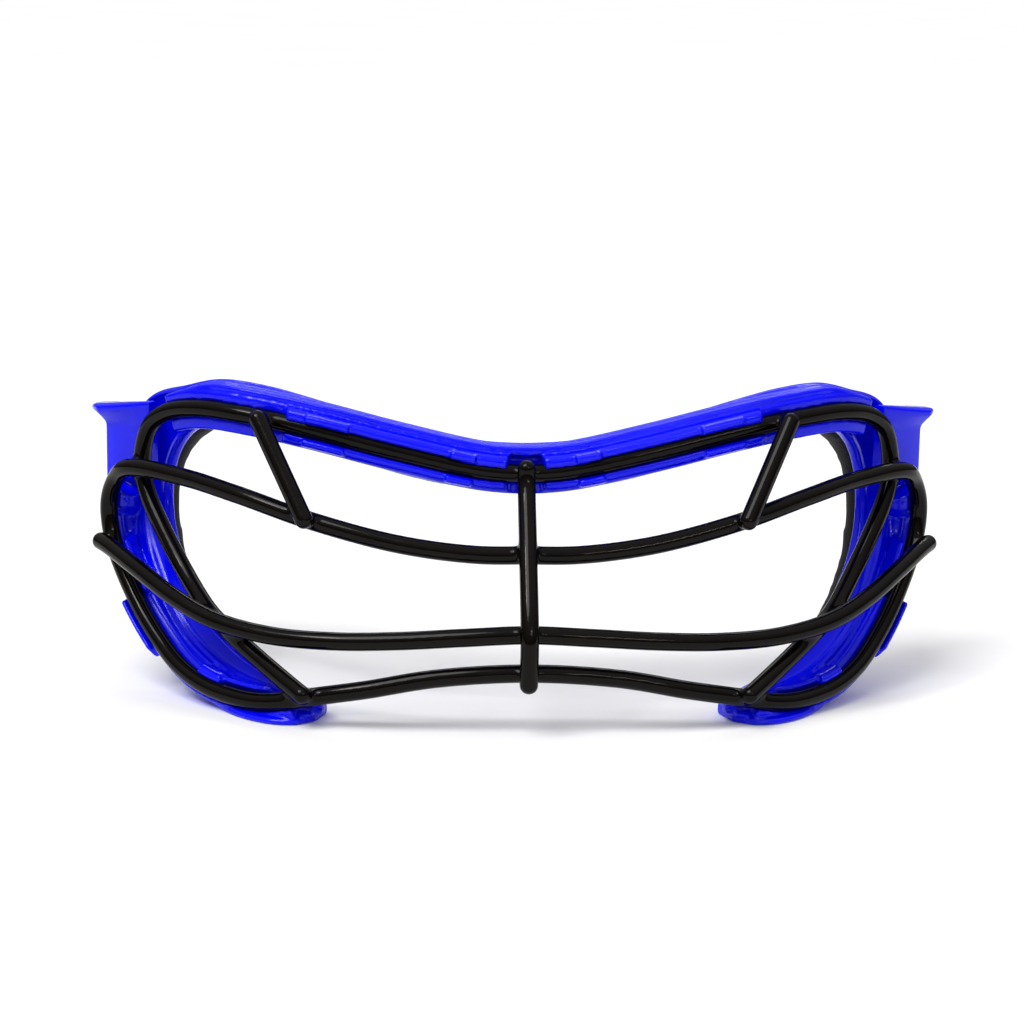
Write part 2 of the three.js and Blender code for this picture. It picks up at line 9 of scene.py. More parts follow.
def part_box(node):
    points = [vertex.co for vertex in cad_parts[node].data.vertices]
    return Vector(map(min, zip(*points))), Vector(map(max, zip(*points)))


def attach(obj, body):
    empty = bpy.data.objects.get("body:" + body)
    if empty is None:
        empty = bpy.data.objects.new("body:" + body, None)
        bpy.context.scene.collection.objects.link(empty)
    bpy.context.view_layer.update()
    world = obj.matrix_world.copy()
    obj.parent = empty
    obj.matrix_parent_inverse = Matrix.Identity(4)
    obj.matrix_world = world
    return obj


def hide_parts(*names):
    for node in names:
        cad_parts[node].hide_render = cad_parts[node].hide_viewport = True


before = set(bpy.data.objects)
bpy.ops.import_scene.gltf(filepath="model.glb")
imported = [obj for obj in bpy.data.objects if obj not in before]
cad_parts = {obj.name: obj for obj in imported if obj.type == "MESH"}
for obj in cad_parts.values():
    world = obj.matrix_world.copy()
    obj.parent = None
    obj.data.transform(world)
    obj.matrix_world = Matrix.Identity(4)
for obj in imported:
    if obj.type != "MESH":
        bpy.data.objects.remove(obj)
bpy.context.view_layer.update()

# ------------------------------------------------------------------ sizes, in millimetres
# The guide curves and outlines are in millimetres, and Blender's own settings in metres.

MM = 0.001
SHIFT_Y = -33.0  # the guide curves count Y from the front of the cage
WIRE_RADIUS = 1.725
PITCH = 3.75  # between the centrelines of two crossing wires
WELD_BLEND = 1.9  # how widely the weld fillets spread
GROOVE = 1.80  # radius of the channel that holds the wire
CAGE_CELL = 0.33  # cell of the field that the cage is drawn from
FRAME_CELL = 0.27  # cell that the frame's mouldings are fused at
SHELL = 2.4  # how far the back of the frame's plate lies behind its guide curves
TANGENT_STEP = 1e-4  # share of a curve over which a direction is measured


# ------------------------------------------------------------------ curves

def spline(points, closed=False):
    """A centripetal Catmull-Rom curve through the points, as a function of shares 0 to 1."""
    pts = np.array(points, float)
    count = len(pts)

    def at(t):
        t = np.atleast_1d(np.asarray(t, float))
        place = t * (count if closed else count - 1)
        first = np.floor(place).astype(int)
        if not closed:
            first = np.clip(first, 0, count - 2)
        w = (place - first)[:, None]
        if closed:
            p0, p1, p2, p3 = (pts[(first + k) % count] for k in (-1, 0, 1, 2))
        else:
            before = 2 * pts[0] - pts[1]
            after = 2 * pts[-1] - pts[-2]
            extended = np.vstack([before, pts, after])
            p0, p1, p2, p3 = (extended[first + k] for k in (0, 1, 2, 3))
        d0, d1, d2 = (
            np.maximum(np.linalg.norm(b - a, axis=1) ** 0.5, 1e-4)[:, None]
            for a, b in ((p0, p1), (p1, p2), (p2, p3))
        )
        m1 = ((p1 - p0) / d0 - (p2 - p0) / (d0 + d1) + (p2 - p1) / d1) * d1
        m2 = ((p2 - p1) / d1 - (p3 - p1) / (d1 + d2) + (p3 - p2) / d2) * d1
        c2 = -3 * p1 + 3 * p2 - 2 * m1 - m2
        c3 = 2 * p1 - 2 * p2 + m1 + m2
        return p1 + m1 * w + c2 * w**2 + c3 * w**3

    return at


def even(curve, step, start=0.0, end=1.0):
    """Points along a curve at an even distance, and their unit tangents."""
    fine = curve(np.linspace(start, end, 4001))
    run = np.concatenate([[0], np.cumsum(np.linalg.norm(np.diff(fine, axis=0), axis=1))])
    count = max(2, int(round(run[-1] / step)) + 1)
    want = np.linspace(0, run[-1], count)
    pts = np.stack([np.interp(want, run, fine[:, k]) for k in range(3)], 1)
    tangents = np.gradient(pts, axis=0)
    tangents /= np.linalg.norm(tangents, axis=1)[:, None]
    return pts, tangents


def mirrored(points):
    return [(-x, y, z) for x, y, z in points]


def both_sides(half):
    left = [p for p in half if p[0] > 0.01]
    return mirrored(left)[::-1] + list(half)


def offset(point, direction, amount):
    return tuple(np.array(point, float) + np.array(direction, float) * amount)


TEMPLE = (73.4, 47.6, 42.5)
CORNER = (39.5, 11, 5.9)
CHEEK = (56.85, 24.15, 16.2)
TIP = (79.55, 50.95, 27.4)

BROW = [
    (0, 24, 45.8), (8, 24.1, 46.3), (24, 25.2, 49.6), (40, 27.8, 53.2), (52, 31.4, 55.2),
    (62, 37, 55.6), (68.5, 42.8, 53.6), (72, 46.4, 49.8), TEMPLE, (72.2, 45, 37.5),
    (69.4, 41, 32), (64.8, 35.2, 24.6), (59.8, 27.4, 18.6), CHEEK, (50, 17.4, 11.6),
    offset(CORNER, (0.3, -0.95, 0.1), PITCH),
]
VISOR = [
    (0, 14.2, 32.2), (10, 14.3, 32.3), (24, 15.8, 33.9), (40, 19.6, 37.4), (54, 26.7, 40.9),
    (65, 35.8, 42.5), offset(TEMPLE, (0.62, -0.78, 0), PITCH), (78.6, 49.6, 39.4),
    (80.2, 52, 34.4), TIP, (74.8, 43.8, 17.2), (69.6, 36.6, 10.2), (65, 30.6, 6.2),
    (59.4, 24.4, 4), (51, 17.2, 3.4), (45, 13.4, 4.4), CORNER, (30, 8.4, 7.9), (17, 6.8, 10.5),
]
LOWER_CENTRE = (0, 6.4, 11.6)
MIDDLE = [
    (0, 5.6, 19.1), (12, 5.9, 18.5), (24, 7.4, 17.5), (36, 10.3, 16.7), (48, 15.2, 16.6),
    offset(CHEEK, (0.42, -0.77, 0.48), PITCH), (66, 27.6, 20.7), (74, 36.6, 24.6),
    (79.8, 44.6, 27), offset(TIP, (0.75, -0.66, 0.04), PITCH),
]
SHELL_OUTER = [
    (0, 31, 50.6), (13, 31.2, 51.6), (26, 32, 54.4), (38, 33.6, 57.8), (49, 36.6, 60.2),
    (58, 41, 60.6), (66, 47.5, 58), (73, 55, 54.4), (77.5, 59, 47), (79, 59, 38),
    (78.8, 55.5, 28), (75.6, 48.8, 18), (71.6, 41.8, 9.8), (66, 34.6, 5.4), (60, 28, 3),
    (52, 21, 2.4), (44, 15.6, 2.2), (38.4, 13.4, 2),
]
SHELL_INNER = [
    (0, 27.4, 41.8), (12.6, 27.6, 42.8), (25, 28.4, 45.4), (36.5, 30.4, 48.8),
    (46.5, 33.4, 51.2), (54, 37, 52.2), (60.5, 42.5, 51.2), (65.4, 48.5, 47.4), (68, 52, 41.6),
    (68.6, 51.6, 35), (67.4, 48, 28), (64.4, 42.4, 21.4), (60, 35.6, 16), (55.4, 29.4, 12.2),
    (50.6, 23.8, 9.6), (46, 19.4, 7.8), (41.8, 16.4, 6.4), (37.8, 14.6, 5.2),
]

brow_curve = spline(both_sides(BROW))
visor_curve = spline(VISOR + [LOWER_CENTRE] + mirrored(VISOR[1:])[::-1], closed=True)
middle_curve = spline(both_sides(MIDDLE))
in_front = [offset(p, (0, -1, 0), PITCH) for p in (BROW[0], VISOR[0], MIDDLE[0], LOWER_CENTRE)]
centre_curve = spline([
    offset(in_front[0], (0, 0, 1), 3.3), offset(in_front[0], (0, -0.6, -1.2), 1),
    *in_front[1:], offset(in_front[3], (0, 0, -1), 2.9),
])
shell_outer = spline(both_sides(SHELL_OUTER))
shell_inner = spline(both_sides(SHELL_INNER))


def nearest_at_x(curve, x, start=0.0, end=1.0):
    fine = curve(np.linspace(start, end, 6001))
    return fine[np.argmin(np.abs(fine[:, 0] - x))]


def share_at_x(curve, x, start=0.0, end=1.0):
    shares = np.linspace(start, end, 6001)
    return shares[np.argmin(np.abs(curve(shares)[:, 0] - x))]


# ------------------------------------------------------------------ mesh helpers

def mesh_of(name, verts, faces):
    mesh = bpy.data.meshes.new(name)
    mesh.from_pydata([tuple(v) for v in verts], [], [tuple(f) for f in faces])
    return mesh


def linked(name, data):
    """A new object in the scene that shows a mesh, a light or a camera."""
    obj = bpy.data.objects.new(name, data)
    bpy.context.scene.collection.objects.link(obj)
    return obj


def piece_of(name, verts, faces, material, slot, *nodes):
    """A smooth-shaded mesh object in metres that rides on the root and stands for CAD nodes."""
    mesh = mesh_of(name, verts, faces)
    mesh.validate()
    obj = linked(name, mesh)
    mesh.materials.append(material)
    mesh.polygons.foreach_set("use_smooth", np.ones(len(mesh.polygons), bool))
    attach(obj, "root")
    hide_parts(*nodes)
    return obj


def scratch(name, verts, faces, weld=None):
    """A working object with its faces turned outwards, its close vertices merged if asked."""
    mesh = mesh_of(name, verts, faces)
    work = bmesh.new()
    work.from_mesh(mesh)
    if weld:
        bmesh.ops.remove_doubles(work, verts=work.verts, dist=weld)
    bmesh.ops.recalc_face_normals(work, faces=work.faces)
    work.to_mesh(mesh)
    work.free()
    return linked(name, mesh)


def bake(obj):
    """Applies an object's modifiers to its mesh."""
    graph = bpy.context.evaluated_depsgraph_get()
    made = bpy.data.meshes.new_from_object(obj.evaluated_get(graph))
    obj.modifiers.clear()
    obj.data = made
    return obj


def rounded(rings, cut=0.55):
    """The same outlines with their corners cut off twice, by a limited length each time."""
    for _ in range(2):
        leg = np.roll(rings, -1, axis=1) - rings
        share = np.minimum(0.25, cut / np.maximum(np.linalg.norm(leg, axis=2), 1e-6))[..., None]
        rings = np.stack([rings + leg * share, rings + leg * (1 - share)], 2)
        rings = rings.reshape(len(rings), -1, 3)
    return rings


def loft(rings, side=1):
    """Vertices and faces of a closed body through a row of outlines with soft corners."""
    rings = rounded(np.array(rings, float))
    rings[..., 0] *= side
    count = rings.shape[1]
    faces = []
    for r in range(len(rings) - 1):
        for i in range(count):
            j = (i + 1) % count
            faces.append((r * count + i, r * count + j, (r + 1) * count + j, (r + 1) * count + i))
    last = (len(rings) - 1) * count
    faces.append(tuple(range(count))[::-1])
    faces.append(tuple(range(last, last + count)))
    verts = rings.reshape(-1, 3).copy()
    verts[:, 1] += SHIFT_Y
    return verts * MM, faces


def joined(parts):
    """One list of vertices and faces from several."""
    verts, faces, first = [], [], 0
    for own_verts, own_faces in parts:
        verts.append(own_verts)
        faces.extend(tuple(first + v for v in f) for f in own_faces)
        first += len(own_verts)
    return np.vstack(verts), faces


def fused(obj, cell):
    """Melts overlapping closed bodies into one skin."""
    fuse = obj.modifiers.new("fuse", "REMESH")
    fuse.mode = "VOXEL"
    fuse.voxel_size = cell
    return bake(obj)


def neighbours(mesh):
    edges = np.empty(len(mesh.edges) * 2, int)
    mesh.edges.foreach_get("vertices", edges)
    return edges.reshape(-1, 2)


def vertices_of(mesh):
    co = np.empty(len(mesh.vertices) * 3)
    mesh.vertices.foreach_get("co", co)
    return co.reshape(-1, 3)


SMOOTH = (0.5,)  # each round draws a vertex halfway to the mean of its neighbours
SMOOTH_AND_SWELL = (0.5, -0.53)  # and then pushes it back, which keeps the body from shrinking


def relax(mesh, rounds, factors=SMOOTH_AND_SWELL):
    """Evens out a mesh and returns its vertices."""
    co = vertices_of(mesh)
    a, b = neighbours(mesh).T
    count = len(co)
    degree = np.bincount(a, minlength=count) + np.bincount(b, minlength=count)
    degree = np.maximum(degree, 1)[:, None]
    for _ in range(rounds):
        for factor in factors:
            total = np.stack(
                [
                    np.bincount(a, co[b, k], count) + np.bincount(b, co[a, k], count)
                    for k in range(3)
                ],
                1,
            )
            co = co + factor * (total / degree - co)
    mesh.vertices.foreach_set("co", co.ravel())
    mesh.update()
    return co


# ------------------------------------------------------------------ materials

def new_material(name):
    material = bpy.data.materials.new(name)
    material.use_nodes = True
    nodes, links = material.node_tree.nodes, material.node_tree.links
    return material, nodes, links, nodes["Principled BSDF"]


def noise_of(nodes, links, coords, scale, detail=3.0, rough=0.5):
    tex = nodes.new("ShaderNodeTexNoise")
    tex.inputs["Scale"].default_value = scale
    tex.inputs["Detail"].default_value = detail
    tex.inputs["Roughness"].default_value = rough
    links.new(coords, tex.inputs["Vector"])
    return tex.outputs["Fac"]


def ramp_of(nodes, links, value, stops):
    ramp = nodes.new("ShaderNodeValToRGB")
    while len(ramp.color_ramp.elements) < len(stops):
        ramp.color_ramp.elements.new(0.5)
    for element, (place, colour) in zip(ramp.color_ramp.elements, stops):
        element.position = place
        element.color = (*colour, 1)
    links.new(value, ramp.inputs["Fac"])
    return ramp.outputs["Color"]


def range_of(nodes, links, value, low, high, start=0.3, end=0.7):
    change = nodes.new("ShaderNodeMapRange")
    change.inputs["From Min"].default_value = start
    change.inputs["From Max"].default_value = end
    change.inputs["To Min"].default_value = low
    change.inputs["To Max"].default_value = high
    links.new(value, change.inputs["Value"])
    return change.outputs["Result"]


def bump_of(nodes, links, height, strength, distance, under=None):
    bump = nodes.new("ShaderNodeBump")
    bump.inputs["Strength"].default_value = strength
    bump.inputs["Distance"].default_value = distance
    links.new(height, bump.inputs["Height"])
    if under is not None:
        links.new(under, bump.inputs["Normal"])
    return bump.outputs["Normal"]


def mixed(nodes, links, factor, a, b, kind="MIX"):
    mix = nodes.new("ShaderNodeMix")
    mix.data_type = "RGBA"
    mix.blend_type = kind
    links.new(factor, mix.inputs["Factor"])
    for value, socket in ((a, mix.inputs[6]), (b, mix.inputs[7])):
        if isinstance(value, tuple):
            socket.default_value = (*value, 1)
        else:
            links.new(value, socket)
    return mix.outputs[2]


def plastic_material():
    """Glossy moulded plastic: colour drift, a painted highlight that brightens sharp convex edges,
    uneven gloss and a fine moulding texture."""
    material, nodes, links, shader = new_material("moulded_blue_plastic")
    coords = nodes.new("ShaderNodeTexCoord").outputs["Object"]
    drift = noise_of(nodes, links, coords, 38)
    base = ramp_of(nodes, links, drift, [
        (0.30, (0.0002, 0.0012, 0.78)),
        (0.52, (0.0003, 0.0018, 0.88)),
        (0.74, (0.0006, 0.003, 0.96)),
    ])
    geometry = nodes.new("ShaderNodeNewGeometry")
    # painted highlight: sharp convex edges, found by pointiness, are mixed towards a brighter blue
    edge_highlight = range_of(nodes, links, geometry.outputs["Pointiness"], 0, 0.35, 0.52, 0.60)
    colour = mixed(nodes, links, edge_highlight, base, (0.004, 0.012, 1.0))
    links.new(colour, shader.inputs["Base Color"])
    smudge = noise_of(nodes, links, coords, 210, 4)
    links.new(range_of(nodes, links, smudge, 0.14, 0.22), shader.inputs["Roughness"])
    grain = noise_of(nodes, links, coords, 5200, 2)
    waves = noise_of(nodes, links, coords, 260, 1)
    soft = bump_of(nodes, links, waves, 0.04, 0.0002)
    links.new(bump_of(nodes, links, grain, 0.05, 0.00003, soft), shader.inputs["Normal"])
    shader.inputs["IOR"].default_value = 1.49
    shader.inputs["Specular IOR Level"].default_value = 0.24
    shader.inputs["Coat Weight"].default_value = 0.06
    shader.inputs["Coat Roughness"].default_value = 0.08
    return material


def wire_material():
    """Black dipped coating: orange peel, slightly uneven gloss and a few dull rubs."""
    material, nodes, links, shader = new_material("black_coated_wire")
    coords = nodes.new("ShaderNodeTexCoord").outputs["Object"]
    drift = noise_of(nodes, links, coords, 90)
    base = ramp_of(nodes, links, drift, [
        (0.3, (0.0010, 0.0007, 0.0005)), (0.7, (0.0028, 0.0018, 0.0012)),
    ])
    links.new(base, shader.inputs["Base Color"])
    rub = noise_of(nodes, links, coords, 420, 5, 0.65)
    links.new(range_of(nodes, links, rub, 0.11, 0.20, 0.35, 0.75), shader.inputs["Roughness"])
    peel = noise_of(nodes, links, coords, 900, 2)
    links.new(bump_of(nodes, links, peel, 0.05, 0.00005), shader.inputs["Normal"])
    shader.inputs["Specular IOR Level"].default_value = 0.09
    shader.inputs["Coat Weight"].default_value = 0.10
    shader.inputs["Coat Roughness"].default_value = 0.06
    shader.inputs["Coat Tint"].default_value = (1.0, 0.93, 0.84, 1)
    return material


def foam_material():
    """Closed cell foam with a soft skin: fine cells with painted shade in their pits, an uneven
    dark tone and almost no gloss.
    """
    material, nodes, links, shader = new_material("black_foam")
    coords = nodes.new("ShaderNodeTexCoord").outputs["Object"]
    cells = nodes.new("ShaderNodeTexVoronoi")
    cells.inputs["Scale"].default_value = 2300
    links.new(coords, cells.inputs["Vector"])
    tone = noise_of(nodes, links, coords, 700, 4)
    base = ramp_of(nodes, links, tone, [
        (0.3, (0.0030, 0.0026, 0.0023)), (0.7, (0.0095, 0.0082, 0.0072)),
    ])
    # painted shade: the pits in the middle of each foam cell are darkened towards near black
    pit_shade = range_of(nodes, links, cells.outputs["Distance"], 0.45, 0.0, 0.0, 0.35)
    links.new(mixed(nodes, links, pit_shade, base, (0.002, 0.002, 0.002)), shader.inputs["Base Color"])
    links.new(range_of(nodes, links, tone, 0.80, 0.96), shader.inputs["Roughness"])
    fine = bump_of(nodes, links, cells.outputs["Distance"], 0.55, 0.00012)
    links.new(bump_of(nodes, links, tone, 0.35, 0.0002, fine), shader.inputs["Normal"])
    shader.inputs["Sheen Weight"].default_value = 0.10
    shader.inputs["Sheen Roughness"].default_value = 0.6
    shader.inputs["Specular IOR Level"].default_value = 0.25
    return material


plastic = plastic_material()
coating = wire_material()
foam = foam_material()


# ------------------------------------------------------------------ cage

STRUT_TOP_X, STRUT_BOTTOM_X = 49.2, 40.2
STRUT_OVERHANG = 1.5  # how far a strut runs on past the wires that it crosses
WIRE_STEP = 0.55  # between the points of a wire's path


def unit(vector):
    return vector / np.linalg.norm(vector)


def strut_path():
    """The left strut lies in front of the brow wire and the upper visor bar."""
    visor_upper = spline(both_sides(VISOR[:7]))
    top = nearest_at_x(brow_curve, STRUT_TOP_X, 0.5, 0.8)
    bottom = nearest_at_x(visor_upper, STRUT_BOTTOM_X, 0.5, 1.0)
    outward = unit(np.array((0.3, -0.93, 0.2)))
    lean = unit(top - bottom)
    return np.linspace(
        bottom + outward * PITCH - lean * STRUT_OVERHANG,
        top + outward * PITCH + lean * STRUT_OVERHANG,
        40,
    )


def shortened(path, amount=WIRE_RADIUS):
    """An open path drawn back at both ends, to leave room for the wire's round ends."""
    run = np.concatenate([[0], np.cumsum(np.linalg.norm(np.diff(path, axis=0), axis=1))])
    want = np.linspace(amount, run[-1] - amount, len(path))
    return np.stack([np.interp(want, run, path[:, k]) for k in range(3)], 1)


WIRES = {
    "visor_loop_wire": even(visor_curve, WIRE_STEP)[0],
    "brow_wire": shortened(even(brow_curve, WIRE_STEP)[0]),
    "middle_crossbar": shortened(even(middle_curve, WIRE_STEP)[0]),
    "centre_bar": shortened(even(centre_curve, WIRE_STEP)[0]),
    "strut_left": shortened(strut_path()),
    "strut_right": shortened(strut_path() * (-1, 1, 1)),
}

FIELD_REACH = 4.2  # distances are worked out this far from a wire
FIELD_FAR = 9.0  # and stand at this further out
FIELD_MARGIN = 4.5  # of the field round the cage


def distance_field(path, shape, origin, cell):
    """Distance to a polyline, on the cells near it."""
    field = np.full(shape, FIELD_FAR, np.float32)
    for a, b in zip(path[:-1], path[1:]):
        lo = np.floor((np.minimum(a, b) - FIELD_REACH - origin) / cell).astype(int)
        hi = np.ceil((np.maximum(a, b) + FIELD_REACH - origin) / cell).astype(int) + 1
        lo, hi = np.maximum(lo, 0), np.minimum(hi, shape)
        axes = [origin[k] + cell * np.arange(lo[k], hi[k]) for k in range(3)]
        px, py, pz = axes[0][:, None, None], axes[1][None, :, None], axes[2][None, None, :]
        d = b - a
        t = ((px - a[0]) * d[0] + (py - a[1]) * d[1] + (pz - a[2]) * d[2]) / max(d @ d, 1e-9)
        t = np.clip(t, 0, 1)
        gap = np.sqrt(
            (px - a[0] - t * d[0]) ** 2 + (py - a[1] - t * d[1]) ** 2 + (pz - a[2] - t * d[2]) ** 2
        )
        view = field[lo[0]:hi[0], lo[1]:hi[1], lo[2]:hi[2]]
        np.minimum(view, gap.astype(np.float32), out=view)
    return field


def surface_nets(field, origin, cell):
    """Quads of the zero surface of a field, one vertex for each cell that it passes through."""
    inside = field < 0
    shape = np.array(field.shape) - 1
    corners = [(i, j, k) for i in (0, 1) for j in (0, 1) for k in (0, 1)]
    count = np.zeros(shape, np.int8)
    for i, j, k in corners:
        count += inside[i:shape[0] + i, j:shape[1] + j, k:shape[2] + k]
    active = np.argwhere((count > 0) & (count < 8))
    ids = np.full(shape, -1, np.int32)
    ids[tuple(active.T)] = np.arange(len(active))
    values = {c: field[tuple((active + c).T)].astype(float) for c in corners}
    total, hits = np.zeros((len(active), 3)), np.zeros(len(active))
    for c in corners:
        for axis in range(3):
            if c[axis]:
                continue
            e = tuple(1 if k == axis else c[k] for k in range(3))
            crossing = (values[c] < 0) != (values[e] < 0)
            t = values[c] / np.where(crossing, values[c] - values[e], 1)
            point = np.repeat(np.array(c, float)[None], len(active), 0)
            point[:, axis] += t
            total += point * crossing[:, None]
            hits += crossing
    verts = (active + total / hits[:, None]) * cell + origin
    quads = []
    for axis in range(3):
        u, v = (axis + 1) % 3, (axis + 2) % 3
        head = [slice(None)] * 3
        tail = [slice(None)] * 3
        head[axis], tail[axis] = slice(0, -1), slice(1, None)
        change = np.argwhere(inside[tuple(head)] != inside[tuple(tail)])
        change = change[(change[:, u] > 0) & (change[:, v] > 0)]
        change = change[(change[:, u] < shape[u]) & (change[:, v] < shape[v])]
        around = []
        for du, dv in ((-1, -1), (0, -1), (0, 0), (-1, 0)):
            at = change.copy()
            at[:, u] += du
            at[:, v] += dv
            around.append(ids[tuple(at.T)])
        quad = np.stack(around, 1)
        start_inside = inside[tuple(change.T)]
        quad[~start_inside] = quad[~start_inside][:, ::-1]
        quads.append(quad)
    return verts, np.vstack(quads)


def blended_field(origin, shape):
    """The distance to the nearest wire's surface, rounded off where two wires meet."""
    blended = None
    for path in WIRES.values():
        raw = distance_field(path, shape, origin, CAGE_CELL) - WIRE_RADIUS
        if blended is None:
            blended = raw
            continue
        near = np.maximum(WELD_BLEND - np.abs(blended - raw), 0) / WELD_BLEND
        blended = np.minimum(blended, raw) - near * near * WELD_BLEND / 4
    return blended


def nearest_wire(places):
    """For each place, the number of the wire that it is nearest to."""
    best = np.full(len(places), np.inf)
    owner = np.zeros(len(places), int)
    for n, path in enumerate(WIRES.values()):
        for part in np.array_split(np.arange(len(places)), 40):  # in parts, to spare memory
            gap = np.full(len(part), np.inf)
            for chunk in np.array_split(path, max(1, len(path) // 60)):
                d = np.linalg.norm(places[part][:, None] - chunk[None], axis=2).min(1)
                gap = np.minimum(gap, d)
            closer = gap < best[part]
            best[part[closer]] = gap[closer]
            owner[part[closer]] = n
    return owner


def build_cage():
    """All six wires in one field, so that each weld is a real fillet, then one piece a wire."""
    everything = np.vstack(list(WIRES.values()))
    origin = everything.min(0) - FIELD_MARGIN
    shape = np.ceil((everything.max(0) + FIELD_MARGIN - origin) / CAGE_CELL).astype(int)
    verts, quads = surface_nets(blended_field(origin, shape), origin, CAGE_CELL)
    whole = mesh_of("cage", verts, quads)
    verts = relax(whole, 3)
    normals = np.empty(len(whole.vertices) * 3)
    whole.vertex_normals.foreach_get("vector", normals)
    normals = normals.reshape(-1, 3)
    owner = nearest_wire(verts[quads].mean(1))
    for n, name in enumerate(WIRES):
        mine = quads[owner == n]
        used, faces = np.unique(mine, return_inverse=True)
        faces = faces.reshape(mine.shape)
        place = verts[used].copy()
        place[:, 1] += SHIFT_Y
        piece = piece_of(name + "_welded", place * MM, faces, coating, "coated_wire", name)
        own = normals[used]
        if len(piece.data.vertices) == len(own):
            piece.data.normals_split_custom_set_from_vertices([tuple(v) for v in own])


build_cage()


# ------------------------------------------------------------------ frame

def stations(shares):
    """Outer and inner edge of the shell, and the direction towards the face."""
    outer, inner = shell_outer(shares), shell_inner(shares)
    low, high = np.clip(shares - TANGENT_STEP, 0, 1), np.clip(shares + TANGENT_STEP, 0, 1)
    along = [c(high) - c(low) for c in (shell_outer, shell_inner)]
    along = [a / np.linalg.norm(a, axis=1)[:, None] for a in along]
    back = np.cross(along[0] + along[1], inner - outer)
    return outer, inner, back / np.linalg.norm(back, axis=1)[:, None]


def band(outline_at, start, end, count):
    """Outlines of a plate between the shell's two edges, as (share across, depth) pairs."""
    shares = np.linspace(start, end, count)
    outer, inner, back = stations(shares)
    rings = []
    for n, share in enumerate(shares):
        rings.append([
            outer[n] + (inner[n] - outer[n]) * a + back[n] * depth for a, depth in outline_at(share)
        ])
    return np.array(rings)


def smooth(value):
    """From 0 to 1, easing in and out."""
    value = min(1.0, max(0.0, value))
    return value * value * (3 - 2 * value)


def swell(value, centre, width, height):
    """A smooth hump along one direction."""
    return height * math.exp(-(((value - centre) / width) ** 2))


# places along the shell, counted in its guide points from the middle
RIB_START, RIB_FULL = 8.5, 10.5
NOTCH_START, NOTCH_END, NOTCH_EASE = 7.8, 9.1, 0.3
NOTCH_SHARE = 0.30  # of the plate's width, cut away from its outer edge
PLATE_FRONT = 0.62  # depth of the plate's front between its beads


def shell_outline(share):
    """The back plate: a raised bead along each edge, a rib between them on the cheeks and a
    notch in the outer edge at the temples."""
    station = abs(share - 0.5) * 2 * (len(SHELL_OUTER) - 1)
    rib = min(1.0, max(0.0, (station - RIB_START) / (RIB_FULL - RIB_START)))
    inset = NOTCH_SHARE * smooth((station - NOTCH_START) / NOTCH_EASE)
    inset *= smooth((NOTCH_END - station) / NOTCH_EASE)
    front = []
    for a in np.linspace(inset, 1, 25):
        depth = PLATE_FRONT
        depth -= swell(a, 0.06, 0.055, 0.60)
        depth -= swell(a, 0.93, 0.055, 0.62)
        depth -= swell(a, 0.50, 0.07, 0.95) * rib
        front.append((a, depth))
    back = [(1, 1.0), (1, SHELL), ((1 + inset) / 2, SHELL + 0.3), (inset, SHELL)]
    return [(inset, 1.0)] + front[1:-1] + back


def arc(radius, start, end, count):
    return [
        (radius * math.cos(math.radians(a)), radius * math.sin(math.radians(a)))
        for a in np.linspace(start, end, count)
    ]


LOWER_REACH = 60  # angle from straight ahead at which the channel's lower edge opens
CENTRE_NOTCH, LIP_END, LIP_EASE = 2.9, 45.5, 0.8
CLOSE_NEAR, CLOSE_FAR = 12.0, 39.0  # between these the upper lip stands further off the wire
LIP_CLOSE_ANGLE, LIP_APART_ANGLE, LIP_APART_LIFT = 34, 48, 0.45
SINK_START, SINK_LENGTH, SINK_SHARE = 58, 10, 0.30  # how the top ridge sinks
RECESS_LOW, RECESS_HIGH, RECESS_DEPTH = 1.2, 3.2, 2.4  # round the centre bar's top


def brow_rail(x):
    """Outline of the brow rail at X as (forward, up) pairs: lower lip, wire channel, upper
    lip, groove line, top ridge and back. There are no lips at the centre bar and beyond the
    struts, and the ridge sinks towards the temples."""
    x = abs(x)
    lip = smooth((x - CENTRE_NOTCH) / LIP_EASE) * smooth((LIP_END - x) / LIP_EASE)
    apart = smooth((x - CLOSE_NEAR) / LIP_EASE) * smooth((CLOSE_FAR - x) / LIP_EASE)
    upper = LIP_CLOSE_ANGLE + (LIP_APART_ANGLE - LIP_CLOSE_ANGLE) * apart
    lift = LIP_APART_LIFT * apart
    sink = 1 - SINK_SHARE * smooth((x - SINK_START) / SINK_LENGTH)
    points = [
        (-0.2, -4.0), (0.75, -3.5), (1.15, -2.7), (1.1, -2.0),
        *arc(GROOVE, -LOWER_REACH, -360 + upper, 19),
        (1.75, 1.05 + lift), (2.0, 1.6 + lift), (1.95, 2.55), (1.5, 3.1), (0.7, 3.35),
        (-0.45, 3.4 * sink), (-0.7, 3.65 * sink), (-0.35, 4.1 * sink), (-0.5, 4.65 * sink),
        (-1.1, 4.95 * sink), (-1.7, 4.62 * sink), (-2.3, 5.0 * sink), (-3.2, 5.1 * sink),
        (-4.6, 4.8 * sink), (-7, 3.6 * sink), (-5, -3.6), (-2.5, -4.1), (-1.2, -4.15),
    ]
    recess = 1 - smooth((x - CENTRE_NOTCH) / LIP_EASE)
    made = []
    for f, u in points:
        f = f if f < 0 else f * lip - 0.1
        if RECESS_LOW < u < RECESS_HIGH:
            f -= RECESS_DEPTH * recess
        made.append((f, u))
    return made


